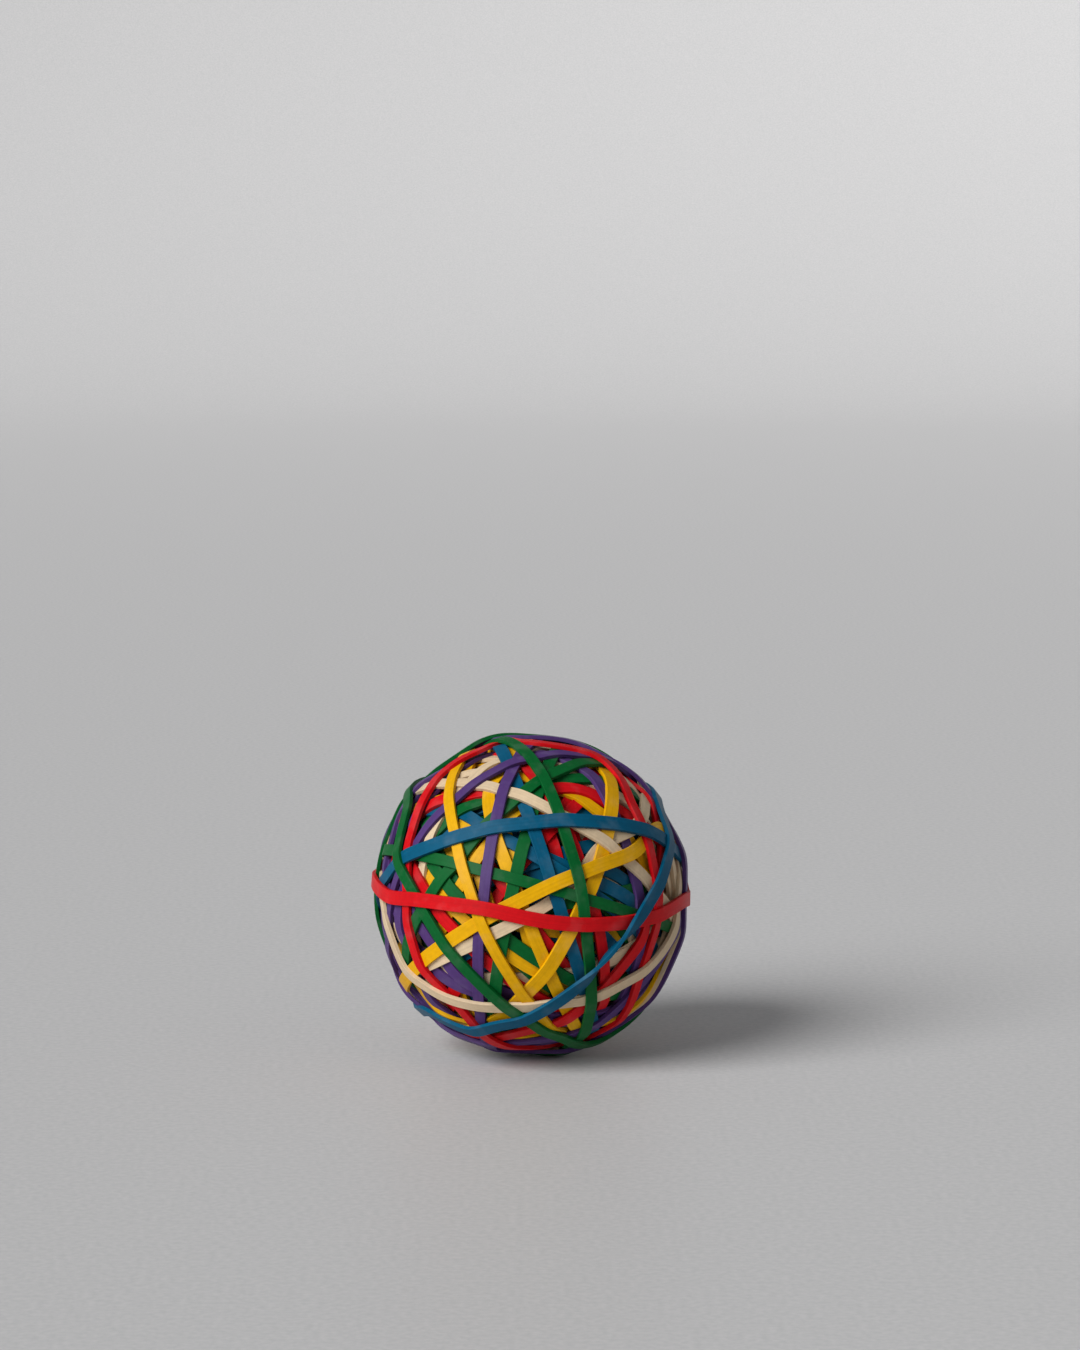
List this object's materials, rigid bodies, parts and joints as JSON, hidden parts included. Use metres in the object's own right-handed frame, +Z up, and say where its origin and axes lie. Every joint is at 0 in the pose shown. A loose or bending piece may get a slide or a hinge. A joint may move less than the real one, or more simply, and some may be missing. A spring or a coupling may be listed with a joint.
{
  "type": "rubber band ball",
  "caption": "Ball of stretched rubber bands in mixed colours, wound over one another; bands are pulled off it when they are needed.",
  "frame": {"origin": "on the surface the ball rests on, under the middle of its box", "axes": "+Z up, -Y towards the side that shows the two long blue bands and the long green one"},
  "size_m": [0.0698, 0.0704, 0.0713],
  "materials": {
    "inner_bands": "matt rubber, the bands wound first, mostly in shade",
    "red_rubber": "matt red rubber with a faint sheen",
    "green_rubber": "matt green rubber with a faint sheen",
    "blue_rubber": "matt blue rubber with a faint sheen",
    "yellow_rubber": "matt yellow rubber with a faint sheen",
    "purple_rubber": "matt purple rubber with a faint sheen",
    "cream_rubber": "matt cream rubber with a faint sheen"
  },
  "bodies": {
    "root": {"inner_bands": "inner_bands", "band_01_blue": "blue_rubber", "band_02_blue": "blue_rubber", "band_03_blue": "blue_rubber", "band_04_red": "red_rubber", "band_05_red": "red_rubber", "band_06_green": "green_rubber", "band_07_blue": "blue_rubber", "band_08_blue": "blue_rubber", "band_09_red": "red_rubber", "band_10_yellow": "yellow_rubber", "band_11_yellow": "yellow_rubber", "band_12_yellow": "yellow_rubber", "band_13_cream": "cream_rubber", "band_14_green": "green_rubber", "band_15_yellow": "yellow_rubber", "band_16_yellow": "yellow_rubber", "band_17_green": "green_rubber", "band_18_blue": "blue_rubber", "band_19_yellow": "yellow_rubber", "band_20_cream": "cream_rubber", "band_21_cream": "cream_rubber", "band_22_green": "green_rubber", "band_23_red": "red_rubber", "band_24_purple": "purple_rubber", "band_25_cream": "cream_rubber", "band_26_red": "red_rubber", "band_27_red": "red_rubber", "band_28_cream": "cream_rubber", "band_29_purple": "purple_rubber", "band_30_purple": "purple_rubber", "band_31_purple": "purple_rubber", "band_32_yellow": "yellow_rubber", "band_33_yellow": "yellow_rubber", "band_34_green": "green_rubber", "band_35_cream": "cream_rubber", "band_36_blue": "blue_rubber", "band_37_yellow": "yellow_rubber", "band_38_green": "green_rubber", "band_39_cream": "cream_rubber", "band_40_red": "red_rubber", "band_41_purple": "purple_rubber", "band_42_purple": "purple_rubber", "band_43_green": "green_rubber", "band_44_purple": "purple_rubber", "band_45_yellow": "yellow_rubber", "band_46_purple": "purple_rubber", "band_47_yellow": "yellow_rubber", "band_48_purple": "purple_rubber", "band_49_red": "red_rubber", "band_50_red": "red_rubber", "band_51_cream": "cream_rubber", "band_52_cream": "cream_rubber", "band_53_green": "green_rubber", "band_54_blue": "blue_rubber", "band_55_purple": "purple_rubber", "band_56_green": "green_rubber", "band_57_green": "green_rubber", "band_58_red": "red_rubber", "band_59_blue": "blue_rubber"}
  },
  "joints": []
}
